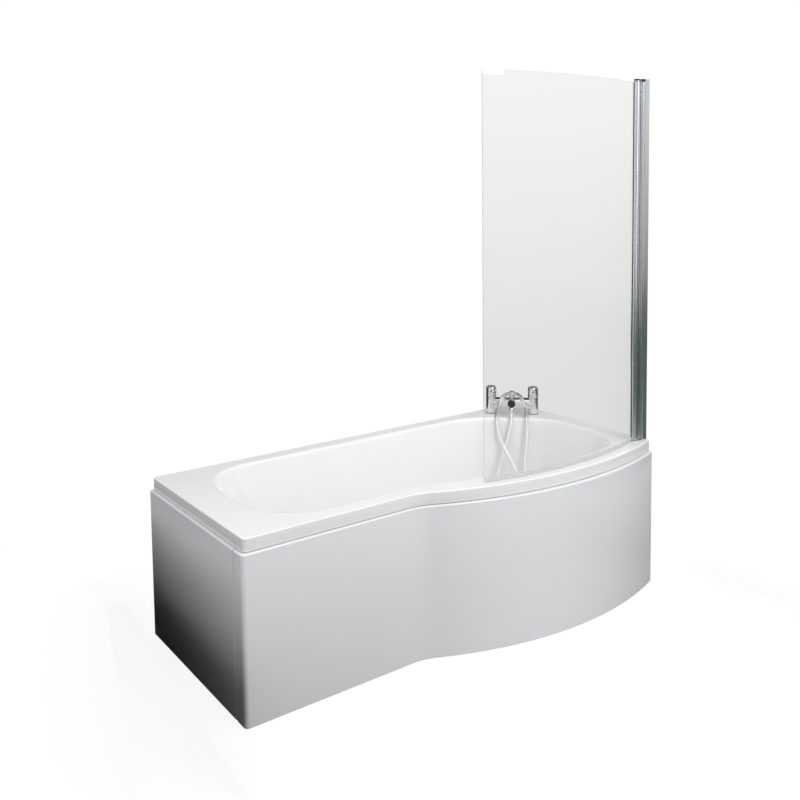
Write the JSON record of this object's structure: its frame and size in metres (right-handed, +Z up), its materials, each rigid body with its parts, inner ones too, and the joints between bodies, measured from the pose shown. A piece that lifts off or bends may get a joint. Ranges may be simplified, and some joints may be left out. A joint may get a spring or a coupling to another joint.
{
  "type": "shower bath",
  "caption": "Shower bath with a bulging showering end, hinged curved glass screen, bath shower mixer tap with hose and handset, panels, support frame and waste.",
  "frame": {"origin": "centre of the overall box in plan, on the floor", "axes": "+X from the narrow end to the tap end, +Y to the long wall, +Z up"},
  "size_m": [1.7, 0.85, 1.93],
  "materials": {
    "acrylic": "glossy white sanitary acrylic",
    "front_panel": "glossy white acrylic sheet",
    "end_panel": "glossy white acrylic sheet",
    "chipboard": "raw chipboard",
    "timber": "sawn softwood",
    "zinc_steel": "zinc plated",
    "black_plastic": "black moulding",
    "grey_plastic": "grey moulding",
    "grey_hose": "grey flexible hose",
    "white_plastic": "white moulding",
    "chrome": "polished chrome plate",
    "hose_metal": "wound metal shower hose",
    "brass": "turned brass",
    "rubber": "black rubber",
    "polished_profile": "bright polished aluminium",
    "nylon": "natural nylon",
    "clear_seal": "clear soft PVC",
    "screen_glass": "clear toughened glass"
  },
  "bodies": {
    "bath": {"bath_shell": "acrylic", "baseboard": "chipboard", "rim_battens": "timber", "tap_deck_board": "timber", "leg_bars": "zinc_steel", "leg_studs": "zinc_steel", "leg_nuts": "zinc_steel", "leg_feet": "black_plastic", "wall_brackets": "zinc_steel", "fixing_screws": "zinc_steel", "front_panel": "front_panel", "end_panel": "end_panel", "panel_battens": "timber", "panel_clips": "zinc_steel", "waste_flange": "chrome", "waste_seal": "rubber", "waste_under_seal": "rubber", "waste_body": "grey_plastic", "waste_backnut": "grey_plastic", "plug_guide": "brass", "plug_spring": "zinc_steel", "overflow_body": "grey_plastic", "overflow_seal": "rubber", "overflow_cover": "chrome", "overflow_screw": "zinc_steel", "overflow_hose": "grey_hose", "trap_body": "white_plastic", "trap_union_nut": "white_plastic", "trap_cap": "white_plastic", "trap_outlet_nut": "white_plastic", "tap_body": "chrome", "aerator": "black_plastic", "tap_washers": "rubber", "tap_backnuts": "brass", "ceramic_valves": "brass", "hose_nut_tap": "chrome", "shower_hose": "hose_metal", "hose_nut_handset": "chrome", "handset_body": "chrome", "handset_plate": "grey_plastic", "wall_profile": "polished_profile", "slide_profile": "polished_profile", "pivot_brackets": "polished_profile", "profile_caps": "black_plastic"},
    "screen": {"pivot_bushes": "nylon", "glass_channel": "polished_profile", "glass_gasket": "rubber", "screen_glass": "screen_glass", "foot_seal": "clear_seal"},
    "hot_control": {"hot_handle": "chrome", "hot_dot": "black_plastic", "hot_spindle": "brass"},
    "cold_control": {"cold_handle": "chrome", "cold_dot": "black_plastic", "cold_spindle": "brass"},
    "diverter": {"diverter_knob": "chrome", "diverter_stem": "brass"},
    "plug": {"waste_plug": "chrome", "plug_seal": "rubber"}
  },
  "joints": [
    {"name": "screen_hinge", "type": "hinge", "parent": "bath", "child": "screen", "pos_m": [0.802, -0.29804, 1.2], "axis": [0, 0, 1], "range_deg": [-45, 80]},
    {"name": "hot_turn", "type": "hinge", "parent": "bath", "child": "hot_control", "pos_m": [0.65936, 0.36464, 0.65], "axis": [0, 0, 1], "range_deg": [0, 90]},
    {"name": "cold_turn", "type": "hinge", "parent": "bath", "child": "cold_control", "pos_m": [0.78664, 0.23736, 0.65], "axis": [0, 0, 1], "range_deg": [-90, 0]},
    {"name": "diverter_lift", "type": "slide", "parent": "bath", "child": "diverter", "axis": [0, 0, 1], "range_m": [0, 0.01]},
    {"name": "plug_press", "type": "slide", "parent": "bath", "child": "plug", "axis": [0, 0, 1], "range_m": [-0.008, 0], "stiffness_N_per_m": 400, "springref_m": 0.005, "deforming": ["plug_spring"]}
  ]
}
